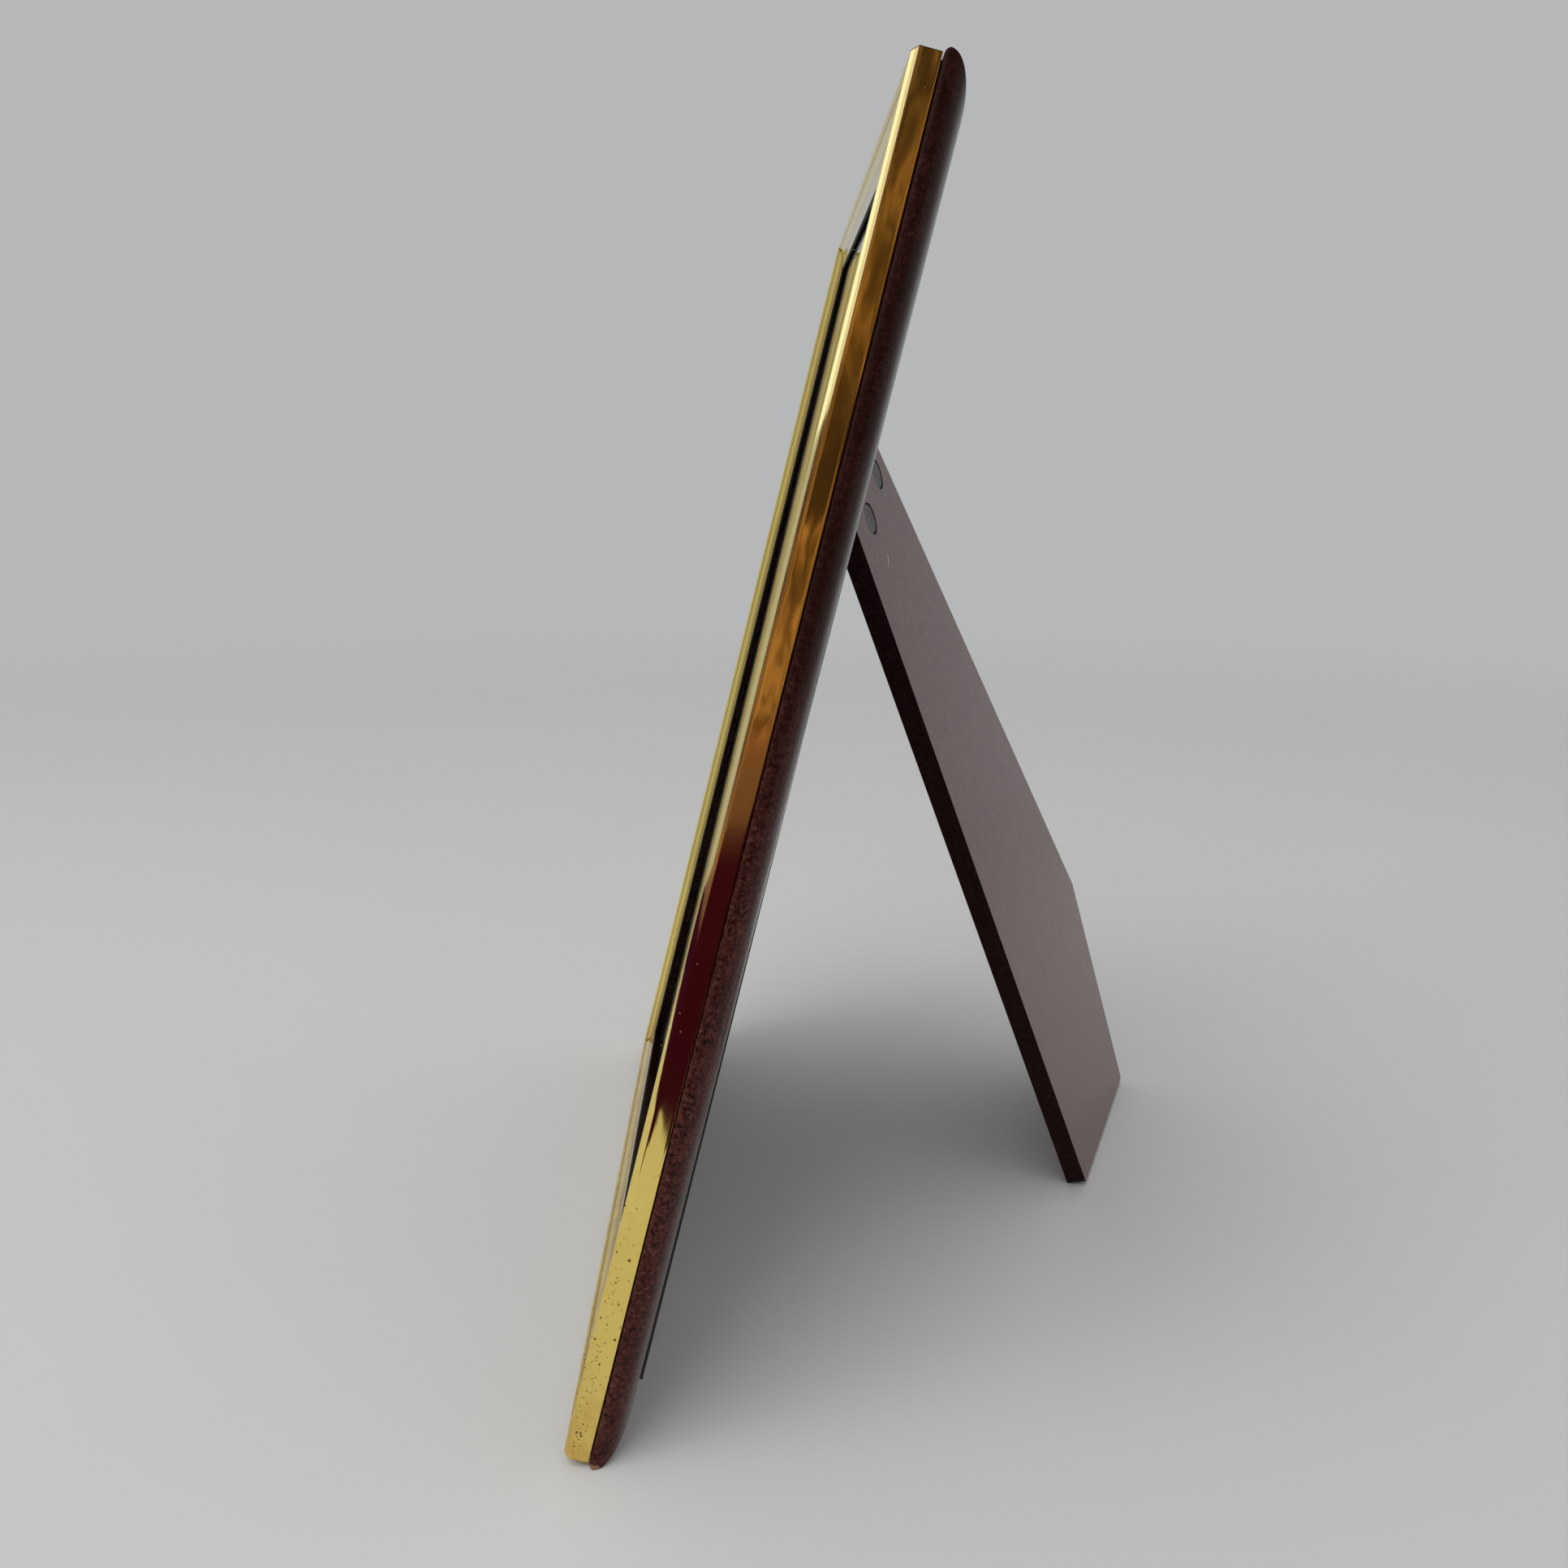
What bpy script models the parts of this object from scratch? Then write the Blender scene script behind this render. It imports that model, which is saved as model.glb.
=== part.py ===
"""Picture frame for an 8 x 10 inch photo, standing on a flat easel leg.

A polished brass front of four mitred rails sits on a lacquered wooden back frame, also
mitred. The glass lies between them; the photo card, the filler and the back panel drop
into the wooden frame from behind. The leg turns on an oblique hinge in the back panel,
so one leg holds the frame upright or on its side, and folds flat into its corner.

Frame coordinates: X across, Z up the frame from the wood's bottom edge, Y from the
brass crest (0) to the back. The whole frame leans back about X.
"""

import math

import bmesh
import bpy
from mathutils import Euler, Matrix, Vector

MM = 0.001

# Driving dimensions
BRASS_WIDTH = 228.6 * MM
BRASS_HEIGHT = 280.0 * MM
WOOD_LEDGE = 0.8 * MM           # how far the wood stands out past the brass
RAIL_WIDTH = 13.4 * MM          # wood edge to the pocket that the photo drops into
HEIGHT_PLAY = 0.8 * MM          # how much taller the pocket is than the photo
LEAN = math.radians(13.45)
GAP = 0.3 * MM                  # kept between pieces that touch
CLEARANCE = 0.2 * MM            # half of the gap at a mitre, along the rail

# Depths from the brass crest towards the back
BRASS_BACK = 5.4 * MM
LIP_BACK = 3.3 * MM             # underside of the brass where it holds the glass
GLASS_SEAT = 6.8 * MM
WOOD_FRONT = BRASS_BACK + GAP
REBATE = 7.7 * MM               # back of the wooden lip that the photo rests on
WOOD_EDGE = 6.5 * MM            # depth where the wood is widest
WOOD_BACK = 12.1 * MM
PANEL_TOP = 11.85 * MM          # back face of the panel at its top, and
PANEL_BOTTOM = 13.05 * MM       # at its bottom, where it sits proud of the wood

# Sections
BRASS_SHEET = 0.8 * MM
BRASS_EDGE_RADIUS = 1.2 * MM
BRASS_RAIL = 8.6 * MM           # brass edge to the visible glass
NOSE_WIDTH = 11.0 * MM          # width of the wood's rounded back edge
LIP_WIDTH = 3.2 * MM
GLASS_THICKNESS = 1.8 * MM
GLASS_TOP = 3.65 * MM           # depth of the glass's front at the top, and
GLASS_BOTTOM = 4.7 * MM         # at the bottom, where the loose pane sits deeper
CARD_THICKNESS = 0.5 * MM
FILLER_THICKNESS = 1.0 * MM
PANEL_THICKNESS = 2.2 * MM

# Easel leg, in its own coordinates: X along the hinge, Y out of its face, Z up the leg
HINGE_ANGLE = math.radians(35.12)
OPEN_ANGLE = math.radians(35.9)
HINGE_X = 7.5 * MM
HINGE_HEIGHT = 208.7 * MM
LEG_THICKNESS = 5.5 * MM
LEG_TOP_HALF = 19.6 * MM        # half the leg's width at its top
LEG_KNEE_X = -18.2 * MM         # where the straight side meets the second foot edge
LEG_HEEL_X = 87.8 * MM          # near end of the foot
LEG_TOE_X = 21.7 * MM           # point of the leg, in the frame's corner when folded
RIVET_SPACING = 19.5 * MM
RIVET_DROP = 7.9 * MM           # hinge axis to the rivets
HEAD_RADIUS = 3.75 * MM

# Hinge
HINGE_LENGTH = 30.0 * MM
KNUCKLES = 5
KNUCKLE_RADIUS = 1.5 * MM
BORE_RADIUS = 0.75 * MM
PIN_RADIUS = 0.66 * MM
LEAF_THICKNESS = 0.7 * MM
LEAF_FACE = 0.2 * MM            # hinge axis to each leaf's outer face
LEAF_REACH = 13.5 * MM

# Turn buttons
BUTTON_LENGTH = 10.0 * MM
BUTTON_THICKNESS = 0.9 * MM
BUTTON_INSET = 10.5 * MM        # wood edge to the button's screw

WOOD_WIDTH = BRASS_WIDTH + 2 * WOOD_LEDGE
WOOD_HEIGHT = BRASS_HEIGHT + 2 * WOOD_LEDGE
PHOTO_WIDTH = WOOD_WIDTH - 2 * RAIL_WIDTH - CLEARANCE
PHOTO_HEIGHT = WOOD_HEIGHT - 2 * RAIL_WIDTH - HEIGHT_PLAY
MIDDLE = WOOD_HEIGHT / 2
PANEL_LEAN = math.atan((PANEL_BOTTOM - PANEL_TOP) / PHOTO_HEIGHT)
LEG_INNER = GAP / 2             # leg's inner face, from the hinge axis
LEG_OUTER = LEG_INNER + LEG_THICKNESS
ARC_STEPS = 10


def clear_scene():
    for obj in list(bpy.data.objects):
        bpy.data.objects.remove(obj, do_unlink=True)


def collection(name):
    made = bpy.data.collections.new(name)
    bpy.context.scene.collection.children.link(made)
    return made


def material(name, colour, roughness, metallic=0.0):
    made = bpy.data.materials.new(name)
    made.use_nodes = True
    shader = made.node_tree.nodes["Principled BSDF"]
    shader.inputs["Base Color"].default_value = (*colour, 1.0)
    shader.inputs["Roughness"].default_value = roughness
    shader.inputs["Metallic"].default_value = metallic
    return made


def empty(name, parent, location, rotation):
    made = bpy.data.objects.new(name, None)
    parts.objects.link(made)
    made.parent = parent
    made.location = location
    made.rotation_euler = rotation
    return made


def place(name, mesh, look, parent, location=(0, 0, 0), rotation=(0, 0, 0)):
    """Put a mesh in the parts collection as one named piece."""
    made = bpy.data.objects.new(name, mesh)
    parts.objects.link(made)
    made.data.materials.append(look)
    made.parent = parent
    made.location = location
    made.rotation_euler = rotation
    return made


def cutter(name, mesh, parent, location=(0, 0, 0), rotation=(0, 0, 0)):
    made = bpy.data.objects.new(name, mesh)
    cutters.objects.link(made)
    made.parent = parent
    made.location = location
    made.rotation_euler = rotation
    made.hide_render = True
    made.display_type = 'WIRE'
    return made


def boolean(obj, tool, operation='DIFFERENCE'):
    step = obj.modifiers.new(tool.name, 'BOOLEAN')
    step.object = tool
    step.operation = operation
    step.solver = 'EXACT'


def bevel(obj, width, segments=2):
    step = obj.modifiers.new("soft edges", 'BEVEL')
    step.width = width
    step.segments = segments
    step.limit_method = 'ANGLE'
    step.angle_limit = math.radians(40)


def smooth(obj, angle=35):
    obj.data.shade_smooth()
    obj.data.set_sharp_from_angle(angle=math.radians(angle))


def box(size, centre=(0, 0, 0)):
    mesh = bpy.data.meshes.new("box")
    bm = bmesh.new()
    bmesh.ops.create_cube(bm, size=1.0)
    bmesh.ops.scale(bm, vec=size, verts=bm.verts)
    bmesh.ops.translate(bm, vec=centre, verts=bm.verts)
    bm.to_mesh(mesh)
    bm.free()
    return mesh


def cylinder(radius, length, axis='Z', centre=(0, 0, 0), segments=32):
    mesh = bpy.data.meshes.new("cylinder")
    turn = {'X': Matrix.Rotation(math.pi / 2, 4, 'Y'),
            'Y': Matrix.Rotation(-math.pi / 2, 4, 'X'),
            'Z': Matrix.Identity(4)}[axis]
    bm = bmesh.new()
    bmesh.ops.create_cone(bm, cap_ends=True, segments=segments, radius1=radius,
                          radius2=radius, depth=length,
                          matrix=Matrix.Translation(centre) @ turn)
    bm.to_mesh(mesh)
    bm.free()
    return mesh


def arc(centre, radius_a, radius_b, start, end, steps=ARC_STEPS):
    """Points of an elliptical arc, both ends included."""
    points = []
    for i in range(steps + 1):
        t = start + (end - start) * i / steps
        points.append((centre[0] + radius_a * math.cos(t), centre[1] + radius_b * math.sin(t)))
    return points


def rounded(points, radius, steps=4):
    """A closed outline with every corner replaced by a small arc."""
    result = []
    for i, corner in enumerate(points):
        here = Vector(corner)
        back = (Vector(points[i - 1]) - here).normalized()
        ahead = (Vector(points[(i + 1) % len(points)]) - here).normalized()
        half = back.angle(ahead) / 2
        centre = here + (back + ahead).normalized() * radius / math.sin(half)
        first = here + back * radius / math.tan(half) - centre
        last = here + ahead * radius / math.tan(half) - centre
        sweep = first.angle_signed(last)
        for k in range(steps + 1):
            turned = first.copy()
            turned.rotate(Matrix.Rotation(-sweep * k / steps, 2))
            result.append(tuple(centre + turned))
    return result


def outline_solid(points, half_thickness):
    """A flat outline in XY, as thick as twice the given half along Z."""
    curve = bpy.data.curves.new("outline", 'CURVE')
    curve.dimensions = '2D'
    curve.fill_mode = 'BOTH'
    curve.extrude = half_thickness
    spline = curve.splines.new('POLY')
    spline.points.add(len(points) - 1)
    for point, (x, y) in zip(spline.points, points):
        point.co = (x, y, 0.0, 1.0)
    spline.use_cyclic_u = True
    guide = bpy.data.objects.new("outline", curve)
    parts.objects.link(guide)
    depsgraph = bpy.context.evaluated_depsgraph_get()
    mesh = bpy.data.meshes.new_from_object(guide.evaluated_get(depsgraph))
    bpy.data.objects.remove(guide, do_unlink=True)
    bm = bmesh.new()
    bm.from_mesh(mesh)
    bmesh.ops.remove_doubles(bm, verts=bm.verts, dist=1e-6)
    bmesh.ops.recalc_face_normals(bm, faces=bm.faces)
    bm.to_mesh(mesh)
    bm.free()
    mesh.materials.clear()
    return mesh


def turned(name, profile, look, parent, location, rotation, steps=32):
    """A piece turned about its own Z from (radius, height) points, top to bottom."""
    mesh = bpy.data.meshes.new(name)
    bm = bmesh.new()
    ring = [bm.verts.new((radius, 0.0, height)) for radius, height in profile]
    for upper, lower in zip(ring, ring[1:]):
        bm.edges.new((upper, lower))
    bm.to_mesh(mesh)
    bm.free()
    made = place(name, mesh, look, parent, location, rotation)
    screw = made.modifiers.new("turn", 'SCREW')
    screw.steps = steps
    screw.render_steps = steps
    screw.use_merge_vertices = True
    screw.merge_threshold = 1e-6
    screw.use_smooth_shade = False
    return made


def brass_profile():
    """Brass section: distance in from the edge, depth. A folded sheet, hollow behind."""
    r = BRASS_EDGE_RADIUS
    front = arc((r, r), r, r, math.pi, 1.5 * math.pi, 6)
    front += [(1.5 * MM, 0.0), (2.3 * MM, 0.9 * MM), (4.6 * MM, 2.0 * MM)]
    front += [(BRASS_RAIL, 2.7 * MM), (BRASS_RAIL, LIP_BACK)]
    hollow = [(4.2 * MM, 2.8 * MM), (2.0 * MM, 1.9 * MM), (BRASS_SHEET, 1.6 * MM)]
    return [(0.0, BRASS_BACK)] + front + hollow + [(BRASS_SHEET, BRASS_BACK)]


def wood_profile():
    """Wood section: rounded back edge, tongue inside the brass, two rebates."""
    tongue_out = WOOD_LEDGE + BRASS_SHEET + GAP
    tongue_in = tongue_out + 1.4 * MM
    lip_in = RAIL_WIDTH + LIP_WIDTH
    points = [(tongue_out, WOOD_FRONT), (0.9 * MM, WOOD_FRONT), (0.25 * MM, WOOD_FRONT + 0.3 * MM)]
    nose = (NOSE_WIDTH, WOOD_EDGE)
    points += arc(nose, -NOSE_WIDTH, WOOD_BACK - WOOD_EDGE, 0.0, math.pi / 2, 14)
    points += [(RAIL_WIDTH, WOOD_BACK), (RAIL_WIDTH, REBATE), (lip_in, REBATE)]
    points += [(lip_in, GLASS_SEAT), (tongue_in, GLASS_SEAT)]
    points += [(tongue_in, LIP_BACK + GAP), (tongue_out, LIP_BACK + GAP)]
    return points


def mitred_rail(name, profile, look, length, edge, side):
    """One rail of a ring: its section runs the length, and both ends are cut at 45 degrees.

    In the rail's own coordinates X runs along it and -Z points into the opening.
    """
    mesh = outline_solid(profile, 0.5)
    mesh.transform(Matrix(((0, 0, 1, 0), (0, 1, 0, 0), (-1, 0, 0, 0), (0, 0, 0, 1))))
    for vertex in mesh.vertices:
        reach = length / 2 + vertex.co.z - CLEARANCE
        vertex.co.x = math.copysign(reach, vertex.co.x)
    turn = {"top": 0.0, "right": math.pi / 2, "bottom": math.pi, "left": -math.pi / 2}[side]
    outward = Vector((math.sin(turn), 0.0, math.cos(turn)))
    middle = Vector((0.0, 0.0, MIDDLE))
    made = place(name, mesh, look, frame, middle + outward * edge, (0.0, turn, 0.0))
    smooth(made)
    return made


def ring(prefix, profile, look, width, height):
    rails = {}
    for side in ("top", "right", "bottom", "left"):
        upright = side in ("left", "right")
        length = height if upright else width
        edge = (width if upright else height) / 2
        rails[side] = mitred_rail(f"{prefix}_{side}", profile, look, length, edge, side)
    return rails


def sheet(name, width, height, front, thickness, look):
    """A flat piece across the frame, between two depths."""
    mesh = box((width, thickness, height))
    return place(name, mesh, look, frame, (0.0, front + thickness / 2, MIDDLE))


def leaf(name, side, knuckles, holes, parent):
    """Half of the hinge: a plate on one side of the axis, and its own knuckles.

    side is +1 for the leaf outside the axis and -1 for the one inside it.
    """
    pitch = HINGE_LENGTH / KNUCKLES
    knuckle_length = pitch - GAP
    clear = KNUCKLE_RADIUS + GAP
    level = side * (LEAF_FACE + LEAF_THICKNESS / 2)
    plate = box((HINGE_LENGTH, LEAF_THICKNESS, LEAF_REACH - clear),
                (0.0, level, -(LEAF_REACH + clear) / 2))
    made = place(name, plate, steel, parent)
    for k in knuckles:
        x = (k + 0.5) * pitch - HINGE_LENGTH / 2
        tongue = box((knuckle_length, LEAF_THICKNESS, 1.2 * MM), (x, level, -1.7 * MM))
        boolean(made, cutter(f"{name}_tongue_{k}", tongue, parent), 'UNION')
        tube = cylinder(KNUCKLE_RADIUS, knuckle_length, 'X', (x, 0.0, 0.0), 24)
        boolean(made, cutter(f"{name}_knuckle_{k}", tube, parent), 'UNION')
    bore = cylinder(BORE_RADIUS, HINGE_LENGTH + 2 * MM, 'X', segments=24)
    boolean(made, cutter(f"{name}_bore", bore, parent))
    for k, (x, z, radius) in enumerate(holes):
        hole = cylinder(radius, 4 * MM, 'Y', (x, level, z), 24)
        boolean(made, cutter(f"{name}_hole_{k}", hole, parent))
    return made


def panel_depth(height):
    """Depth of the panel's back face at a height up the frame."""
    return (PANEL_TOP + PANEL_BOTTOM) / 2 - (height - MIDDLE) * math.tan(PANEL_LEAN)


def leg_point(x, z):
    """Frame coordinates of a point on the open leg's inner face."""
    hinge = Euler((OPEN_ANGLE, HINGE_ANGLE, 0.0)).to_matrix()
    turn = Matrix.Rotation(PANEL_LEAN, 3, 'X') @ hinge
    axis_depth = panel_depth(HINGE_HEIGHT) + GAP / 2
    return turn @ Vector((x, LEG_INNER, z)) + Vector((HINGE_X, axis_depth, HINGE_HEIGHT))


def leg_height(x, z):
    """Height above the table of a point on the open leg's inner face."""
    point = leg_point(x, z)
    nose = math.hypot(NOSE_WIDTH * math.cos(LEAN), (WOOD_BACK - WOOD_EDGE) * math.sin(LEAN))
    lowest = NOSE_WIDTH * math.cos(LEAN) - WOOD_EDGE * math.sin(LEAN) - nose
    return point.z * math.cos(LEAN) - point.y * math.sin(LEAN) - lowest


def side_offset(x, z):
    """Offsets of a point on the open leg from the wood's left edge, seen along the edge."""
    point = leg_point(x, z)
    return point.x + WOOD_WIDTH / 2, point.y - WOOD_EDGE


def leg_outline():
    """Leg seen face on: foot edges that meet the table upright and on the frame's side."""
    def on_table(x):
        top, low = leg_height(x, 0.0), leg_height(x, -1.0)
        return -top / (top - low)

    toe = on_table(LEG_TOE_X)
    heel = on_table(LEG_HEEL_X)
    across, out = side_offset(LEG_TOE_X, toe)
    slope = across / out
    top_x, top_y = side_offset(LEG_KNEE_X, 0.0)
    low_x, low_y = side_offset(LEG_KNEE_X, -1.0)
    start = top_x - slope * top_y
    knee = -start / (start - (low_x - slope * low_y))
    head = (LEG_OUTER * math.cos(OPEN_ANGLE) - LEG_INNER) / math.sin(OPEN_ANGLE) + 1 * MM
    return [(-LEG_TOP_HALF, head), (LEG_KNEE_X, knee), (LEG_TOE_X, toe),
            (LEG_HEEL_X, heel), (LEG_TOP_HALF, head)]


def button(name, x, z, stand_off, turn):
    """Turn button on its own screw, turning about the frame's Y over a raised hub."""
    pivot = empty(f"{name}_axis", frame, (x, WOOD_BACK, z), (0.0, turn, 0.0))
    arm = rounded([(-3.0 * MM, -2.6 * MM), (-3.0 * MM, 2.6 * MM),
                   (BUTTON_LENGTH, 2.2 * MM), (BUTTON_LENGTH, -2.2 * MM)], 2.0 * MM)
    plate = outline_solid(arm, BUTTON_THICKNESS / 2)
    lift = stand_off + BUTTON_THICKNESS / 2
    plate.transform(Matrix.Translation((0.0, lift, 0.0)) @ Matrix.Rotation(math.pi / 2, 4, 'X'))
    made = place(name, plate, brass_plain, pivot)
    hub_top = stand_off + BUTTON_THICKNESS / 2
    hub = cylinder(2.3 * MM, hub_top - GAP, 'Y', (0.0, (hub_top + GAP) / 2, 0.0), 24)
    boolean(made, cutter(f"{name}_hub", hub, pivot), 'UNION')
    hole = cylinder(1.2 * MM, 8 * MM, 'Y', segments=24)
    boolean(made, cutter(f"{name}_hole", hole, pivot))
    head = stand_off + BUTTON_THICKNESS + GAP
    crown = [(0.0, head + 1.1 * MM), (1.2 * MM, head + 1.0 * MM), (2.1 * MM, head + 0.6 * MM)]
    body = [(2.4 * MM, head), (1.1 * MM, head), (1.1 * MM, -2.9 * MM), (0.0, -3.6 * MM)]
    screw = turned(f"{name}_screw", crown + body, steel, frame, (x, WOOD_BACK, z),
                   (-math.pi / 2, 0.0, 0.0), 24)
    slot = cutter(f"{name}_slot", box((5.4 * MM, 0.7 * MM, 0.7 * MM)), frame,
                  (x, WOOD_BACK + head + 1.0 * MM, z), (0.0, turn + math.pi / 5, 0.0))
    boolean(screw, slot)
    pilot = cylinder(1.4 * MM, 6.0 * MM, 'Y', (0.0, -1.0 * MM, 0.0), 24)
    return cutter(f"{name}_pilot", pilot, pivot)


clear_scene()
parts = collection("picture_frame")
cutters = collection("cutters")

brass = material("polished brass", (0.75, 0.55, 0.19), 0.12, 1.0)
brass_plain = material("stamped brass", (0.62, 0.47, 0.20), 0.30, 1.0)
lacquer = material("burgundy lacquer", (0.055, 0.018, 0.018), 0.25)
leg_lacquer = material("leg lacquer", (0.075, 0.030, 0.030), 0.22)
glass = material("clear glass", (0.90, 0.93, 0.92), 0.02)
card = material("black card", (0.015, 0.015, 0.016), 0.75)
board = material("grey board", (0.28, 0.27, 0.25), 0.85)
panel_black = material("black panel", (0.018, 0.016, 0.016), 0.55)
steel = material("dull steel", (0.42, 0.41, 0.39), 0.40, 1.0)

base = empty("base", None, (0, 0, 0), (0, 0, 0))
frame = empty("frame_lean", base, (0, 0, 0), (-LEAN, 0.0, 0.0))
hinge_point = (HINGE_X, panel_depth(HINGE_HEIGHT) + GAP / 2, HINGE_HEIGHT)
panel_lean = empty("panel_lean", frame, hinge_point, (PANEL_LEAN, 0.0, 0.0))
seat = empty("hinge_seat", panel_lean, (0, 0, 0), (0.0, HINGE_ANGLE, 0.0))
leg_axis = empty("leg_axis", panel_lean, (0, 0, 0), (OPEN_ANGLE, HINGE_ANGLE, 0.0))

# Brass front and wooden back frame
ring("brass_rail", brass_profile(), brass, BRASS_WIDTH, BRASS_HEIGHT)
wood = ring("wood_rail", wood_profile(), lacquer, WOOD_WIDTH, WOOD_HEIGHT)

# Glass, a loose pane that leans back a little in its seat
glass_inset = WOOD_LEDGE + BRASS_SHEET + 2 * GAP + 1.4 * MM
glass_height = WOOD_HEIGHT - 2 * glass_inset
glass_lean = math.atan((GLASS_BOTTOM - GLASS_TOP) / glass_height)
pane = sheet("glass_pane", WOOD_WIDTH - 2 * glass_inset, glass_height,
             (GLASS_TOP + GLASS_BOTTOM) / 2, GLASS_THICKNESS, glass)
pane.rotation_euler = (glass_lean, 0.0, 0.0)

# What drops in from behind
card_front = REBATE + GAP / 2
filler_front = card_front + CARD_THICKNESS + GAP / 2
panel_front = panel_depth(MIDDLE) - PANEL_THICKNESS
fit = 2 * GAP - CLEARANCE
photo = sheet("photo_card", PHOTO_WIDTH - fit, PHOTO_HEIGHT - fit, card_front,
              CARD_THICKNESS, card)
filler = sheet("filler_board", PHOTO_WIDTH - fit, PHOTO_HEIGHT - fit, filler_front,
               FILLER_THICKNESS, board)
panel = sheet("back_panel", PHOTO_WIDTH - fit, PHOTO_HEIGHT - fit, panel_front,
              PANEL_THICKNESS, panel_black)
panel.rotation_euler = (PANEL_LEAN, 0.0, 0.0)
for piece in (photo, filler, panel):
    piece.location.z = RAIL_WIDTH + GAP + (PHOTO_HEIGHT - fit) / 2

# Hinge let into the panel and the leg; both leaves lie under the leg when it is folded
leaf_seat = (HINGE_LENGTH + 2 * GAP, 2 * (LEAF_FACE + LEAF_THICKNESS + GAP), LEAF_REACH + GAP)
leaf_centre = (0.0, 0.0, -leaf_seat[2] / 2)
groove_length = HINGE_LENGTH + 2.6 * MM



def seat_leaf(body, name, owner):
    """Cut the shallow seat for both leaves and the groove for the knuckles."""
    boolean(body, cutter(f"{name}_leaf_seat", box(leaf_seat, leaf_centre), owner))
    groove = cylinder(KNUCKLE_RADIUS + GAP, groove_length, 'X', segments=24)
    boolean(body, cutter(f"{name}_groove", groove, owner))


seat_leaf(panel, "panel", seat)

rivets = [(-RIVET_SPACING / 2, -RIVET_DROP), (RIVET_SPACING / 2, -RIVET_DROP)]
panel_rivets = [(-5.0 * MM, -9.6 * MM), (5.0 * MM, -9.6 * MM)]
leaf("hinge_leaf_panel", -1, (1, 3), [(x, z, 1.8 * MM) for x, z in panel_rivets], seat)
leaf("hinge_leaf_leg", 1, (0, 2, 4), [(x, z, 2.3 * MM) for x, z in rivets], leg_axis)

pin_half = HINGE_LENGTH / 2 + GAP
pin_profile = [(0.0, pin_half + 0.7 * MM), (0.9 * MM, pin_half + 0.6 * MM), (1.2 * MM, pin_half),
               (PIN_RADIUS, pin_half), (PIN_RADIUS, -pin_half), (1.2 * MM, -pin_half),
               (0.9 * MM, -pin_half - 0.6 * MM), (0.0, -pin_half - 0.7 * MM)]
turned("hinge_pin", pin_profile, steel, seat, (0, 0, 0), (0.0, math.pi / 2, 0.0), 20)

inner_face = -GAP / 2 - PANEL_THICKNESS
for k, (x, z) in enumerate(panel_rivets):
    profile = [(0.0, -0.25 * MM), (1.5 * MM, -0.25 * MM), (1.5 * MM, inner_face + 0.6 * MM),
               (3.2 * MM, inner_face + 0.6 * MM), (3.2 * MM, inner_face + 0.1 * MM),
               (0.0, inner_face + 0.1 * MM)]
    turned(f"panel_rivet_{k + 1}", profile, steel, seat, (x, 0.0, z), (-math.pi / 2, 0.0, 0.0), 24)
    through = cylinder(1.8 * MM, 8 * MM, 'Y', (x, 0.0, z), 24)
    boolean(panel, cutter(f"panel_rivet_hole_{k + 1}", through, seat))
    sink = cylinder(3.5 * MM, 1.8 * MM, 'Y', (x, inner_face, z), 24)
    boolean(panel, cutter(f"panel_rivet_sink_{k + 1}", sink, seat))

# Easel leg: its bevelled top lies against the panel and stops it at the open angle
leg_mesh = outline_solid(rounded(leg_outline(), 0.8 * MM), LEG_THICKNESS / 2)
leg_mesh.transform(Matrix.Translation((0.0, (LEG_INNER + LEG_OUTER) / 2, 0.0))
                   @ Matrix.Rotation(math.pi / 2, 4, 'X'))
leg = place("easel_leg", leg_mesh, leg_lacquer, leg_axis)
bevel(leg, 0.3 * MM, 1)
stop_face = box((80 * MM, 20 * MM, 40 * MM), (0.0, LEG_INNER - 10 * MM, 15 * MM))
boolean(leg, cutter("leg_stop_face", stop_face, seat))
seat_leaf(leg, "leg", leg_axis)

head_back = LEG_OUTER - 0.9 * MM
for k, (x, z) in enumerate(rivets):
    profile = [(0.0, LEG_OUTER - 0.15 * MM), (HEAD_RADIUS - 0.2 * MM, LEG_OUTER - 0.1 * MM),
               (HEAD_RADIUS, LEG_OUTER - 0.25 * MM), (HEAD_RADIUS, head_back),
               (2.0 * MM, head_back), (2.0 * MM, LEAF_FACE + 0.1 * MM), (0.0, LEAF_FACE + 0.1 * MM)]
    turned(f"leg_rivet_{k + 1}", profile, steel, leg_axis, (x, 0.0, z), (-math.pi / 2, 0.0, 0.0))
    hole = cylinder(2.3 * MM, 20 * MM, 'Y', (x, 0.0, z))
    boolean(leg, cutter(f"leg_rivet_hole_{k + 1}", hole, leg_axis))
    sink = cylinder(HEAD_RADIUS + GAP, 2.4 * MM, 'Y', (x, LEG_OUTER, z))
    boolean(leg, cutter(f"leg_rivet_sink_{k + 1}", sink, leg_axis))

# Turn buttons, clear of the folded leg: name, wooden rail, x, z, direction of the arm
half_width, top = WOOD_WIDTH / 2, WOOD_HEIGHT
buttons = (("turn_button_1", "top", -55 * MM, top - BUTTON_INSET, math.pi / 2),
           ("turn_button_2", "top", 55 * MM, top - BUTTON_INSET, math.pi / 2),
           ("turn_button_3", "bottom", 45 * MM, BUTTON_INSET, -math.pi / 2),
           ("turn_button_4", "left", -half_width + BUTTON_INSET, 170 * MM, 0.0))
for name, side, x, z, direction in buttons:
    stand_off = max(0.0, panel_depth(z) - WOOD_BACK) + GAP
    pilot = button(name, x, z, stand_off, direction)
    boolean(wood[side], pilot)

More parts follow.
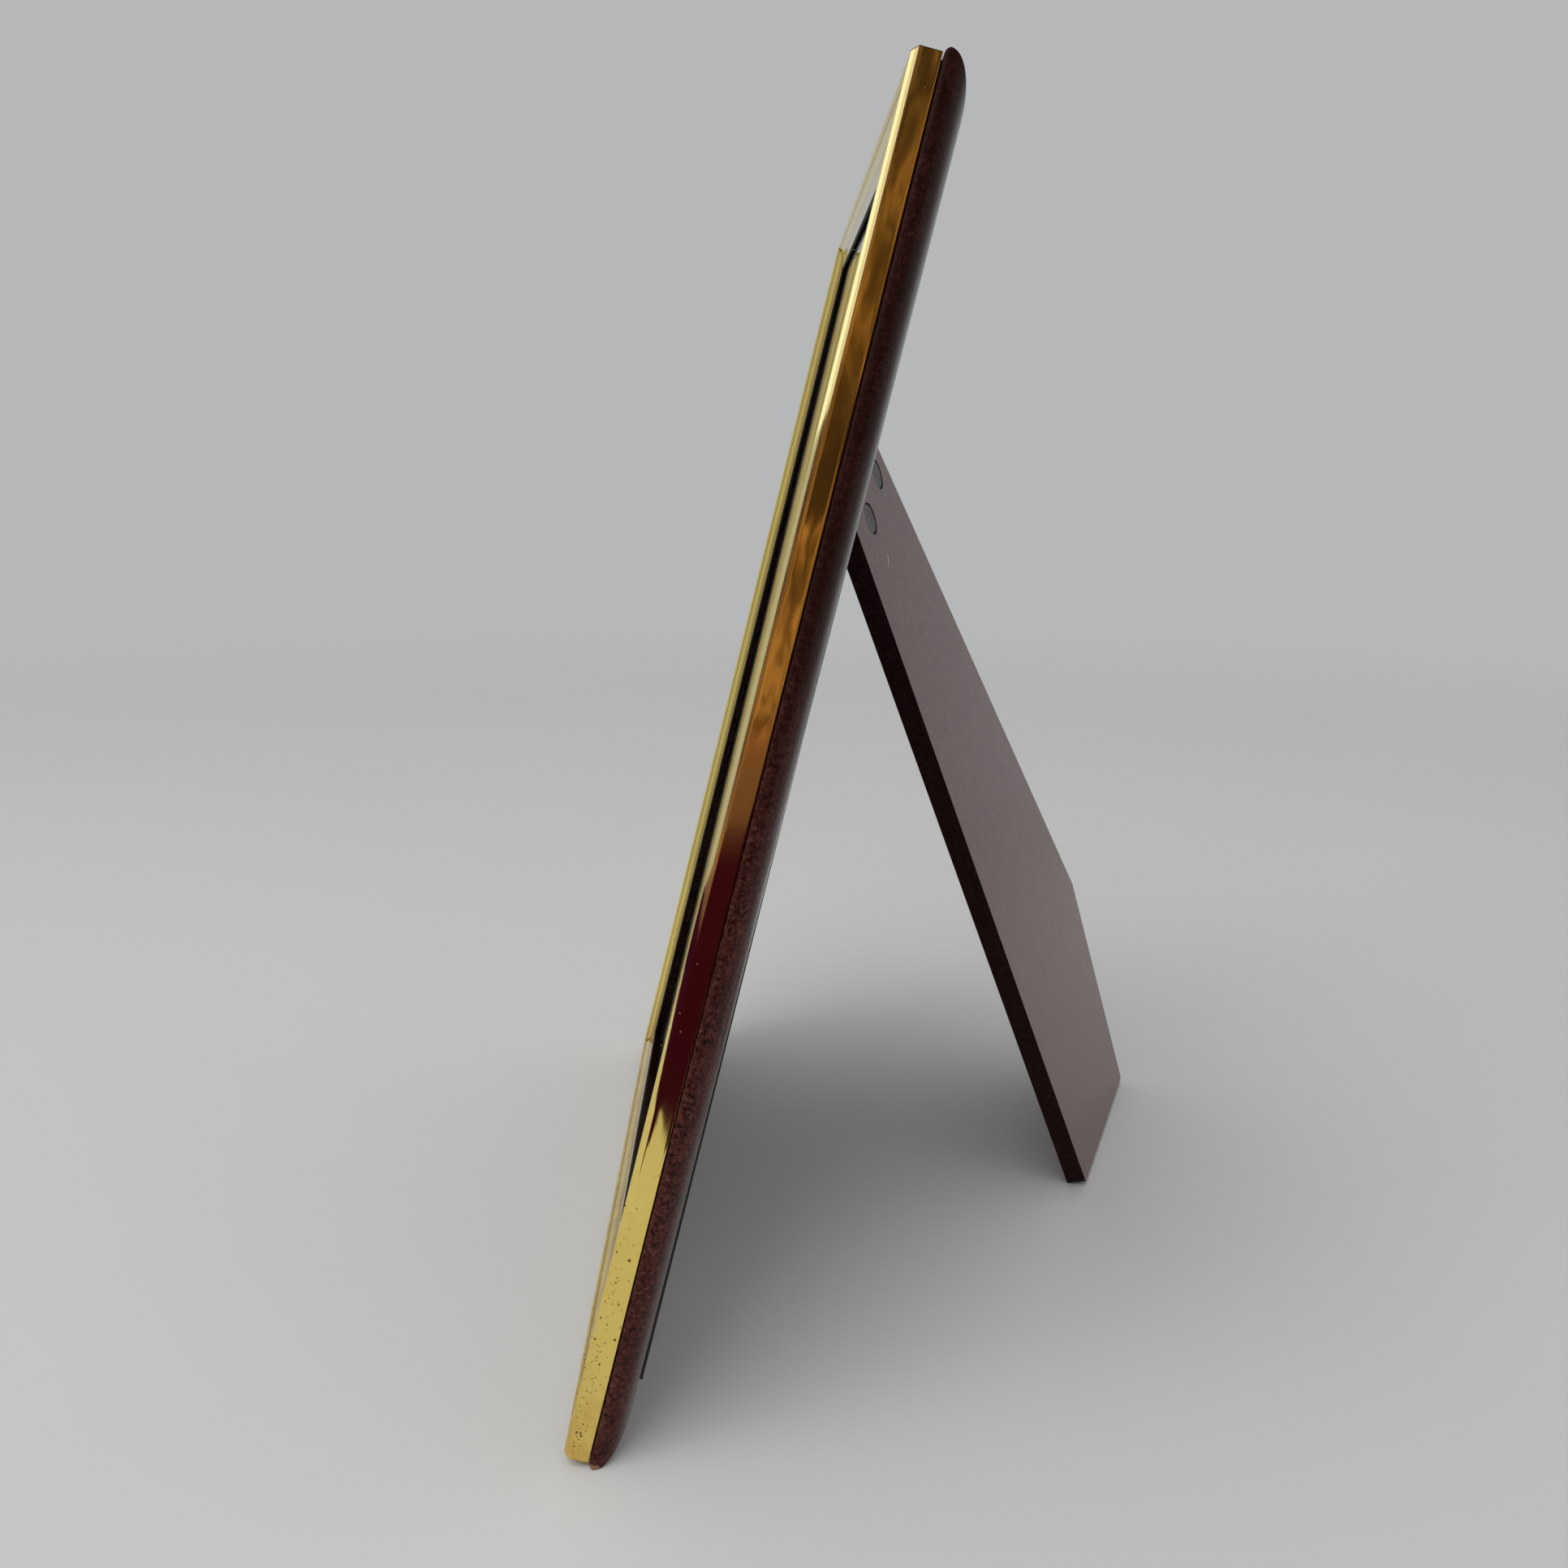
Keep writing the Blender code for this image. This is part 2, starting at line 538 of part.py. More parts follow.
# Stand the frame on z = 0 with the middle of its box over the origin
bpy.context.view_layer.update()
depsgraph = bpy.context.evaluated_depsgraph_get()
corners = []
for obj in parts.objects:
    if obj.type == 'MESH':
        solid = obj.evaluated_get(depsgraph)
        corners += [solid.matrix_world @ vertex.co for vertex in solid.data.vertices]
low = [min(corner[i] for corner in corners) for i in range(3)]
high = [max(corner[i] for corner in corners) for i in range(3)]
base.location = (-(low[0] + high[0]) / 2, -(low[1] + high[1]) / 2, -low[2])
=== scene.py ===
"""Looks for a picture frame: polished brass front, burgundy lacquered back frame, easel leg.

The rails of both frames are surfaces carried along a straight path between two mitres.
Everything else keeps its CAD shape and gets its finish here.
"""

import math

import bpy
import numpy as np
from mathutils import Matrix


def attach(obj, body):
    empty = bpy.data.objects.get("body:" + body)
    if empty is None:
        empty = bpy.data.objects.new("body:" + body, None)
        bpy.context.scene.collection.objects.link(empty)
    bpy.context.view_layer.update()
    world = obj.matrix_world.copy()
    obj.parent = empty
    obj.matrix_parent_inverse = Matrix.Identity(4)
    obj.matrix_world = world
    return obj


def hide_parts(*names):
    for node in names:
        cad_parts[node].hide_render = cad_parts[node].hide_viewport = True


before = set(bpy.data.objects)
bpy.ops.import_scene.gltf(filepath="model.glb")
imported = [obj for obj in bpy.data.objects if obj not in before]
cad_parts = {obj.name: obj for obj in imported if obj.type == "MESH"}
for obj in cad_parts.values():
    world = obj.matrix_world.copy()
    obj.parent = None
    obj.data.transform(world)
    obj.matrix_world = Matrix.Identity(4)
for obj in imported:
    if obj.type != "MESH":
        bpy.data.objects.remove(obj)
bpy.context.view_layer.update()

MM = 0.001

# The frame's own axes: X across, depth towards the back, up the frame
LEAN = math.radians(13.45)
FRAME_Y = -82.597919 * MM
FRAME_Z = 1.590458 * MM
TO_WORLD = Matrix.Translation((0.0, FRAME_Y, FRAME_Z)) @ Matrix.Rotation(-LEAN, 4, 'X')

# Half of each ring's width and height; the wood stands out past the brass
BRASS_HALF = (114.3 * MM, 140.0 * MM)
WOOD_LEDGE = 0.8 * MM
WOOD_HALF = (BRASS_HALF[0] + WOOD_LEDGE, BRASS_HALF[1] + WOOD_LEDGE)
MIDDLE = WOOD_HALF[1]
MITRE_GAP = 0.2 * MM
SIDES = {"top": (0, 1), "right": (1, 0), "bottom": (0, -1), "left": (-1, 0)}
STATIONS = 160                  # cross-sections along each rail

# Distances around the brass outline, from the back of its outer side
BEVEL = (4.0 * MM, 5.8 * MM)
FOLDS = (7.1 * MM, 9.65 * MM)
OPENING_EDGE = 13.6 * MM

WORN_CORNER = (0.1146, -0.0757, 0.0004)

CAMERA_PLACE = (0.3877, -0.043546, 0.202929)
CAMERA_TURN = (78.12288, -0.5849, 88.94597)
CAMERA_LENS = 34.12

PALE = (0.47, 0.475, 0.48, 1.0)
ROOM_REACH = 3.4                # length of the mirrored room's run of colours

# Outward direction of the leg's show face, for telling it from the cut edges
LEG_FACE = (0.337334633, 0.898059905, 0.282301068)


def head_middle(rivet):
    """Middle of a rivet's head: its points that lie farthest out along the leg's face."""
    points = np.array([vertex.co for vertex in rivet.data.vertices])
    out = points @ np.array(LEG_FACE)
    return tuple(points[out > out.max() - 0.3 * MM].mean(axis=0))


RIVETS = [head_middle(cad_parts[name]) for name in ("leg_rivet_1", "leg_rivet_2")]


# ---------------------------------------------------------------- rails


def fillet(corners, steps=7):
    """Outline with its corners rounded.

    corners holds (inward, depth, radius). Each rounded corner becomes a quadratic curve
    from radius before the corner to radius after it, pulled towards the corner itself.
    """
    points = np.array([corner[:2] for corner in corners], float)
    radii = np.array([corner[2] for corner in corners], float)
    before = np.roll(points, 1, axis=0) - points
    after = np.roll(points, -1, axis=0) - points
    before /= np.linalg.norm(before, axis=1)[:, None]
    after /= np.linalg.norm(after, axis=1)[:, None]
    t = np.linspace(0.0, 1.0, steps)[None, :, None]
    start = (points + before * radii[:, None])[:, None]
    end = (points + after * radii[:, None])[:, None]
    bend = (1 - t) ** 2 * start + 2 * t * (1 - t) * points[:, None] + t ** 2 * end
    return bend.reshape(-1, 2)


def split_long(outline, longest):
    """The same closed outline with its long straight runs cut into equal shorter ones."""
    ahead = np.roll(outline, -1, axis=0)
    length = np.linalg.norm(ahead - outline, axis=1)
    pieces = np.maximum(1, np.ceil(length / longest)).astype(int)
    owner = np.repeat(np.arange(len(outline)), pieces)
    first = np.repeat(np.cumsum(pieces) - pieces, pieces)
    share = (np.arange(len(owner)) - first) / pieces[owner]
    return outline[owner] + (ahead - outline)[owner] * share[:, None]


def ripple(along, across, size, seed):
    """Soft unevenness: a sum of eight sine waves of wavelength 14 to 120 mm."""
    rng = np.random.default_rng(seed)
    waves = rng.uniform(8.0, 70.0, (8, 2)) * rng.choice((-1, 1), (8, 2))
    phase = rng.uniform(0, 2 * math.pi, 8)
    weight = rng.uniform(0.4, 1.0, 8)
    total = sum(w * np.sin(2 * math.pi * (a * along + b * across) + p)
                for (a, b), p, w in zip(waves, phase, weight))
    return size * (0.5 + 0.5 * total / weight.sum())


def mitred_rail(name, outline, half, side, unevenness, seed):
    """A closed outline carried along a rail and cut at 45 degrees at both ends.

    At t from -1 to 1 along the rail, the outline's point (inward b, depth w) lies at
    t * (half length - b) along it, so both ends are mitres. The outer surfaces are sunk
    inward by the ripple, most on the flats and not at all on the ends.
    """
    out = np.array(SIDES[side], float)
    along = np.array((out[1], -out[0]))
    upright = side in ("left", "right")
    edge, reach = (half[0], half[1]) if upright else (half[1], half[0])
    t = np.sin(np.linspace(-math.pi / 2, math.pi / 2, STATIONS))
    t = 0.65 * t + 0.35 * np.linspace(-1.0, 1.0, STATIONS)
    b = outline[:, 0][None, :]
    w = outline[:, 1][None, :]
    x = t[:, None] * (reach - MITRE_GAP - b)
    sunk = ripple(x, w * 2 + b, unevenness, seed) * np.clip((1 - np.abs(t[:, None])) * 12, 0, 1)
    inward = b + sunk * (b < 6 * MM)
    plane = out[None, None, :] * (edge - inward)[..., None] + along[None, None, :] * x[..., None]
    depth = np.broadcast_to(w, x.shape)
    local = np.stack((plane[..., 0], depth, plane[..., 1] + MIDDLE, np.ones_like(x)), -1)
    world = local.reshape(-1, 4) @ np.array(TO_WORLD).T
    rows, columns = x.shape
    index = np.arange(rows * columns).reshape(rows, columns)
    ahead = np.roll(index, -1, axis=1)
    quads = np.stack((index[:-1], ahead[:-1], ahead[1:], index[1:]), -1).reshape(-1, 4)
    run = np.linalg.norm(np.roll(outline, -1, 0) - outline, axis=1)
    v = np.concatenate(((0.0,), np.cumsum(run)))
    ahead_x = np.roll(x, -1, axis=1)
    near = np.broadcast_to(v[:-1], x[:-1].shape)
    far = np.broadcast_to(v[1:], x[:-1].shape)
    uv_quads = np.stack((np.stack((x[:-1], near), -1), np.stack((ahead_x[:-1], far), -1),
                         np.stack((ahead_x[1:], far), -1), np.stack((x[1:], near), -1)),
                        2).reshape(-1, 2)
    caps = [index[0][::-1].tolist(), index[-1].tolist()]
    uv_caps = np.concatenate((outline[::-1], outline))
    faces = quads.tolist() + caps
    mesh = bpy.data.meshes.new(name)
    mesh.from_pydata(world[:, :3].tolist(), [], faces)
    layer = mesh.uv_layers.new(name="along and around")
    layer.data.foreach_set("uv", np.concatenate((uv_quads, uv_caps)).ravel())
    orient_outward(mesh)
    mesh.shade_smooth()
    mesh.set_sharp_from_angle(angle=math.radians(38))
    made = bpy.data.objects.new(name, mesh)
    bpy.context.scene.collection.objects.link(made)
    return made


def orient_outward(mesh):
    """Turn all faces over if the mesh encloses a negative volume."""
    mesh.calc_loop_triangles()
    corner = np.empty(len(mesh.loop_triangles) * 3, np.int32)
    mesh.loop_triangles.foreach_get("vertices", corner)
    place = np.empty(len(mesh.vertices) * 3)
    mesh.vertices.foreach_get("co", place)
    a, b, c = place.reshape(-1, 3)[corner.reshape(-1, 3)].transpose(1, 0, 2)
    if np.einsum('ij,ij->i', a, np.cross(b, c)).sum() < 0:
        mesh.flip_normals()


def brass_outline():
    """Folded brass sheet: bevelled outer edge, two folds on the way in, and its hollow back."""
    corners = ((0.0, 5.4, 0.05), (0.0, 1.3, 0.14), (0.46, 0.62, 0.3), (0.98, 0.0, 0.12),
               (1.5, 0.0, 0.1), (2.3, 0.9, 0.2), (4.6, 2.0, 0.2), (8.6, 2.7, 0.12),
               (8.6, 3.3, 0.12), (4.2, 2.8, 0.3), (2.0, 1.9, 0.3), (0.8, 1.6, 0.2),
               (0.8, 5.4, 0.1))
    return split_long(fillet(np.array(corners) * MM, 7), 0.5 * MM)


def wood_outline():
    """Wood section: rounded front lip, an elliptical back edge, a flat back, two rebates."""
    nose = np.linspace(0.0, math.pi / 2, 30)
    back_edge = np.stack((11.0 - 11.0 * np.cos(nose), 6.5 + 5.6 * np.sin(nose)), -1)
    lip = np.array(((1.9, 5.7), (0.9, 5.7), (0.5, 5.82), (0.2, 6.1)))
    inside = np.array(((13.2, 12.1), (13.4, 11.9), (13.4, 7.7), (16.6, 7.7), (16.6, 6.8),
                       (3.3, 6.8), (3.3, 3.6), (1.9, 3.6)))
    return split_long(np.concatenate((lip, back_edge, inside)) * MM, 0.7 * MM)


# ---------------------------------------------------------------- shader building


class Maker:
    """Adds nodes to a tree. An input that is given a socket is linked, else it is set."""

    def __init__(self, tree):
        self.tree = tree

    def put(self, node, key, value):
        socket = node.inputs[key]
        if isinstance(value, bpy.types.NodeSocket):
            self.tree.links.new(value, socket)
        else:
            socket.default_value = value

    def node(self, kind, inputs=None, **settings):
        made = self.tree.nodes.new("ShaderNode" + kind)
        for key, value in settings.items():
            setattr(made, key, value)
        for key, value in (inputs or {}).items():
            self.put(made, key, value)
        return made

    def math(self, operation, a, b=0.0, clamp=False):
        return self.node("Math", {0: a, 1: b}, operation=operation, use_clamp=clamp).outputs[0]

    def mix(self, share, a, b, blend='MIX'):
        made = self.node("Mix", {0: share, 6: a, 7: b}, data_type='RGBA', blend_type=blend)
        return made.outputs[2]

    def blend(self, share, a, b):
        return self.node("Mix", {0: share, 2: a, 3: b}, data_type='FLOAT').outputs[0]

    def span(self, value, low, high, to_low=0.0, to_high=1.0):
        inputs = {0: value, 1: low, 2: high, 3: to_low, 4: to_high}
        made = self.node("MapRange", inputs, interpolation_type='SMOOTHSTEP', clamp=True)
        return made.outputs[0]

    def noise(self, vector, scale, detail=3.0, rough=0.55, distort=0.0):
        inputs = {"Vector": vector, "Scale": scale, "Detail": detail, "Roughness": rough,
                  "Distortion": distort}
        return self.node("TexNoise", inputs).outputs[0]

    def stretch(self, vector, scale, turn=(0.0, 0.0, 0.0), move=(0.0, 0.0, 0.0)):
        inputs = {"Vector": vector, "Location": move, "Rotation": turn, "Scale": scale}
        return self.node("Mapping", inputs).outputs[0]

    def bump(self, height, distance, strength=1.0, normal=None):
        inputs = {"Height": height, "Distance": distance, "Strength": strength}
        if normal is not None:
            inputs["Normal"] = normal
        return self.node("Bump", inputs).outputs[0]

    def group(self, tree, **inputs):
        made = self.node("Group")
        made.node_tree = tree
        for key, value in inputs.items():
            self.put(made, key.replace("_", " "), value)
        return made.outputs


def shader_group(name, inputs, outputs, build):
    """A reusable effect: build(maker, input sockets) returns its outputs in order."""
    tree = bpy.data.node_groups.new(name, 'ShaderNodeTree')
    for label, kind, value in inputs:
        socket = tree.interface.new_socket(label, in_out='INPUT', socket_type=kind)
        if value is not None:
            socket.default_value = value
    for label, kind in outputs:
        tree.interface.new_socket(label, in_out='OUTPUT', socket_type=kind)
    maker = Maker(tree)
    entry = tree.nodes.new("NodeGroupInput")
    leave = tree.nodes.new("NodeGroupOutput")
    for socket, value in zip(leave.inputs, build(maker, entry.outputs)):
        tree.links.new(value, socket)
    return tree


def build_pits(m, given):
    """Round spots: a cell's spot shows where its random number is under Amount."""
    wobble = m.noise(given["Vector"], 900.0, 2.0)
    place = m.node("VectorMath", {0: given["Vector"]}, operation='SCALE')
    m.put(place, "Scale", given["Scale"])
    cell = m.node("TexVoronoi", {"Vector": place.outputs[0], "Scale": 1.0})
    chance = m.node("SeparateColor", {0: cell.outputs["Color"]}).outputs
    shown = m.math('LESS_THAN', chance[0], given["Amount"])
    size = m.math('MULTIPLY', m.math('ADD', chance[1], 0.35), 0.30)
    reach = m.math('ADD', cell.outputs["Distance"], m.math('MULTIPLY', wobble, 0.12))
    edge = m.math('SUBTRACT', m.math('ADD', size, 0.06), reach)
    return (m.math('MULTIPLY', shown, m.span(edge, 0.0, 0.09)),)


def build_smudge(m, given):
    """Cloudy patches: layered noise pushed away from its middle value."""
    base = m.noise(given["Vector"], given["Scale"], 5.0, 0.6, 0.6)
    low = m.math('SUBTRACT', 0.5, given["Softness"])
    high = m.math('ADD', 0.5, given["Softness"])
    spread = m.node("MapRange", {0: base, 1: low, 2: high}, clamp=True)
    return (spread.outputs[0],)


def build_fibre(m, given):
    """Long fibres: noise stretched along the first axis, with a finer layer over it."""
    parts = m.node("SeparateXYZ", {0: given["Vector"]}).outputs
    along = m.math('MULTIPLY', parts[0], given["Along"])
    across = m.math('MULTIPLY', parts[1], given["Across"])
    deep = m.math('MULTIPLY', parts[2], given["Across"])
    vector = m.node("CombineXYZ", {0: along, 1: across, 2: deep}).outputs[0]
    coarse = m.noise(vector, 1.0, 4.0, 0.6, 0.4)
    fine = m.noise(vector, 3.7, 3.0, 0.7)
    return (m.span(coarse, 0.3, 0.7), m.span(fine, 0.35, 0.65))


def build_scratches(m, given):
    """Hairlines: two sets of stretched noise, only their peaks kept, gated by patches."""
    first = m.stretch(given["Vector"], (9.0, 900.0, 900.0), (0.3, 0.2, 0.5))
    second = m.stretch(given["Vector"], (900.0, 12.0, 900.0), (0.1, 0.6, -0.4))
    lines = m.math('MAXIMUM', m.noise(first, 1.0, 2.0), m.noise(second, 1.0, 2.0))
    patch = m.span(m.noise(given["Vector"], 35.0, 2.0), 0.45, 0.65)
    peak = m.span(lines, m.math('SUBTRACT', 0.78, given["Amount"]), 0.80)
    return (m.math('MULTIPLY', peak, patch),)


def build_short_scratch(m, given):
    """One straight scratch: near its middle along its direction, and close to its line."""
    middle = (0.009275, -0.010015, 0.181105)
    direction = (0.6125, 0.0178, -0.7903)
    start = sum(a * b for a, b in zip(middle, direction))
    reach = m.node("VectorMath", {0: given["Vector"], 1: middle}, operation='DISTANCE')
    along = m.node("VectorMath", {0: given["Vector"], 1: direction}, operation='DOT_PRODUCT')
    shift = m.math('SUBTRACT', along.outputs["Value"], start)
    square = m.math('SUBTRACT', m.math('POWER', reach.outputs["Value"], 2.0),
                    m.math('MULTIPLY', shift, shift))
    beside = m.math('SQRT', m.math('MAXIMUM', square, 0.0))
    ends = m.span(m.math('ABSOLUTE', shift), 2.1 * MM, 1.5 * MM)
    return (m.math('MULTIPLY', ends, m.span(beside, 0.26 * MM, 0.12 * MM)),)


VECTOR, FLOAT = 'NodeSocketVector', 'NodeSocketFloat'
pits = shader_group("pits", (("Vector", VECTOR, None), ("Scale", FLOAT, 300.0),
                             ("Amount", FLOAT, 0.1)), (("Mask", FLOAT),), build_pits)
smudge = shader_group("smudge", (("Vector", VECTOR, None), ("Scale", FLOAT, 20.0),
                                 ("Softness", FLOAT, 0.2)), (("Mask", FLOAT),), build_smudge)
fibre = shader_group("fibre", (("Vector", VECTOR, None), ("Along", FLOAT, 40.0),
                               ("Across", FLOAT, 600.0)),
                     (("Coarse", FLOAT), ("Fine", FLOAT)), build_fibre)
scratches = shader_group("scratches", (("Vector", VECTOR, None), ("Amount", FLOAT, 0.05)),
                         (("Mask", FLOAT),), build_scratches)
short_scratch = shader_group("short scratch", (("Vector", VECTOR, None),),
                             (("Mask", FLOAT),), build_short_scratch)


def new_material(name):
    """A material with a Principled shader; gives the material, its maker and the shader."""
    made = bpy.data.materials.new(name)
    made.use_nodes = True
    shader = made.node_tree.nodes["Principled BSDF"]
    return made, Maker(made.node_tree), shader


def line_at(m, value, where, width):
    """1 on a thin line where the value passes through where, fading over the width."""
    return m.span(m.math('ABSOLUTE', m.math('SUBTRACT', value, where)), width, 0.0)


def object_place(m):
    """The piece's own coordinates in metres."""
    return m.node("TexCoord").outputs["Object"]


def rail_place(m):
    """The rail's own coordinates in metres: along it, and around its outline."""
    return m.node("UVMap", uv_map="along and around").outputs[0]


# ---------------------------------------------------------------- finishes


def polished_brass():
    """Mirror brass: warm film, brown pits low down, hairlines, and painted light: dark shade
    lines at the folds, black shade on the opening edge and hollow back, a pale highlight on the
    bevel, a dark reflection band near the opening.
    """
    made, m, shader = new_material("polished brass")
    rail = rail_place(m)
    place = object_place(m)
    around = m.node("SeparateXYZ", {0: rail}).outputs[1]
    height = m.node("SeparateXYZ", {0: place}).outputs[2]
    film = m.group(smudge, Vector=place, Scale=26.0, Softness=0.16)[0]
    cloud = m.group(smudge, Vector=place, Scale=140.0, Softness=0.22)[0]
    low = m.span(height, 0.070, 0.018)
    foot = m.span(height, 0.030, 0.0)
    by_bevel = line_at(m, around, 3.7 * MM, 1.6 * MM)
    cluster = m.span(m.noise(place, 130.0, 2.0), 0.36, 0.54)
    share = m.math('MULTIPLY', m.math('MULTIPLY', low, m.blend(by_bevel, 0.2, 1.0)),
                   m.blend(cluster, 0.25, 1.0))
    spots = m.group(pits, Vector=rail, Scale=1000.0, Amount=m.blend(share, 0.003, 0.85))[0]
    specks = m.group(pits, Vector=rail, Scale=1900.0, Amount=m.blend(share, 0.006, 0.75))[0]
    mark = m.math('MAXIMUM', spots, m.math('MULTIPLY', specks, 0.9))
    hair = m.group(scratches, Vector=place, Amount=0.06)[0]
    clean = m.mix(cloud, (0.93, 0.74, 0.21, 1), (0.90, 0.69, 0.18, 1))
    warm = m.mix(m.math('MULTIPLY', film, 0.16), clean, (0.74, 0.42, 0.10, 1))
    orange = m.mix(m.math('MULTIPLY', m.math('MULTIPLY', foot, cloud), 0.6), warm,
                   (0.55, 0.25, 0.06, 1))
    # Painted highlight: a pale yellow band along the rounded outer bevel, fading in between 6
    # and 13 cm up.
    bevel = m.math('MULTIPLY', m.span(around, BEVEL[0] - 0.1 * MM, BEVEL[0] + 0.1 * MM),
                   m.span(around, BEVEL[1] + 0.1 * MM, BEVEL[1] - 0.1 * MM))
    bevel = m.math('MULTIPLY', bevel, m.span(height, 0.06, 0.13))
    painted_bevel_highlight = m.mix(m.math('MULTIPLY', bevel, 0.6), orange, (0.92, 0.85, 0.50, 1))
    # Painted reflection: a dark olive band on the inner slope towards the opening.
    painted_dark_inner_reflection = m.mix(m.math('MULTIPLY', m.span(around, 9.2 * MM, 11.5 * MM), 0.5), painted_bevel_highlight,
                  (0.22, 0.18, 0.06, 1))
    # Painted shade: dark lines along both folds.
    fold = m.math('MAXIMUM', line_at(m, around, FOLDS[0], 0.22 * MM),
                  line_at(m, around, FOLDS[1], 0.25 * MM))
    painted_fold_shade = m.mix(m.math('MULTIPLY', fold, 0.75), painted_dark_inner_reflection, (0.05, 0.035, 0.01, 1))
    # Painted shade: the opening edge and the hollow back past it go near black, not metallic and
    # rough.
    painted_opening_shade = m.span(around, OPENING_EDGE - 0.15 * MM, OPENING_EDGE + 0.15 * MM)
    dark = m.mix(painted_opening_shade, painted_fold_shade, (0.006, 0.005, 0.004, 1))
    m.put(shader, "Base Color", m.mix(m.math('MULTIPLY', mark, 0.85), dark,
                                      (0.10, 0.055, 0.012, 1)))
    m.put(shader, "Metallic", m.math('MULTIPLY', m.blend(mark, 1.0, 0.5),
                                     m.math('SUBTRACT', 1.0, painted_opening_shade)))
    rough = m.math('ADD', m.blend(film, 0.035, 0.07), m.math('MULTIPLY', hair, 0.10))
    m.put(shader, "Roughness", m.blend(m.math('MAXIMUM', mark, painted_opening_shade), rough, 0.6))
    swell = m.noise(m.stretch(rail, (1.0, 2.2, 1.0)), 55.0, 2.0)
    first = m.bump(swell, 0.00004)
    m.put(shader, "Normal", m.bump(mark, -0.00005, 0.8, first))
    return made


def burgundy_lacquer():
    """Dark burgundy stain under thin lacquer: fine specks, short cross fibres, dull patches."""
    made, m, shader = new_material("burgundy lacquer")
    rail = rail_place(m)
    place = object_place(m)
    height = m.node("SeparateXYZ", {0: place}).outputs[2]
    across = m.stretch(rail, (1.0, 1.0, 1.0), (0.0, 0.0, math.pi / 2))
    grain = m.group(fibre, Vector=rail, Along=70.0, Across=620.0)
    flecks = m.group(fibre, Vector=across, Along=330.0, Across=1250.0)
    dots = m.noise(place, 1050.0, 3.0, 0.75)
    dust = m.noise(place, 2600.0, 2.0, 0.7)
    patch = m.group(smudge, Vector=place, Scale=42.0, Softness=0.2)[0]
    tone = m.mix(grain[0], (0.026, 0.0050, 0.0038, 1), (0.070, 0.0150, 0.0100, 1))
    tone = m.mix(m.math('MULTIPLY', flecks[0], 0.55), tone, (0.110, 0.030, 0.022, 1))
    tone = m.mix(m.span(dots, 0.54, 0.66), tone, (0.150, 0.052, 0.040, 1))
    tone = m.mix(m.span(dots, 0.47, 0.38), tone, (0.010, 0.0022, 0.0020, 1))
    tone = m.mix(m.math('MULTIPLY', m.span(dust, 0.60, 0.72), 0.6), tone,
                 (0.21, 0.10, 0.085, 1))
    # Darker towards the top of the frame, and a little darker in cloudy patches.
    darker_towards_top = m.math('MULTIPLY', m.span(height, 0.09, 0.20), 0.68)
    tone = m.mix(m.math('ADD', m.math('MULTIPLY', patch, 0.25), darker_towards_top), tone,
                 (0.014, 0.0030, 0.0026, 1))
    corner = m.node("VectorMath", {0: place, 1: WORN_CORNER},
                    operation='DISTANCE').outputs["Value"]
    worn = m.math('ADD', corner, m.math('MULTIPLY', m.math('SUBTRACT', dots, 0.5), 2 * MM))
    tone = m.mix(m.span(worn, 1.1 * MM, 0.8 * MM), tone, (0.26, 0.14, 0.075, 1))
    m.put(shader, "Base Color", tone)
    m.put(shader, "Roughness", m.blend(flecks[1], 0.24, 0.40))
    shader.inputs["Specular IOR Level"].default_value = 0.11
    shader.inputs["Coat Roughness"].default_value = 0.16
    grazing = m.node("LayerWeight", {"Blend": 0.5}).outputs["Facing"]
    m.put(shader, "Coat Weight", m.math('MULTIPLY', m.span(grazing, 0.50, 0.92),
                                        m.blend(patch, 0.55, 0.9)))
    relief = m.math('ADD', m.math('MULTIPLY', flecks[0], 0.6), dots)
    m.put(shader, "Normal", m.bump(relief, 0.00005, 1.0))
    return made


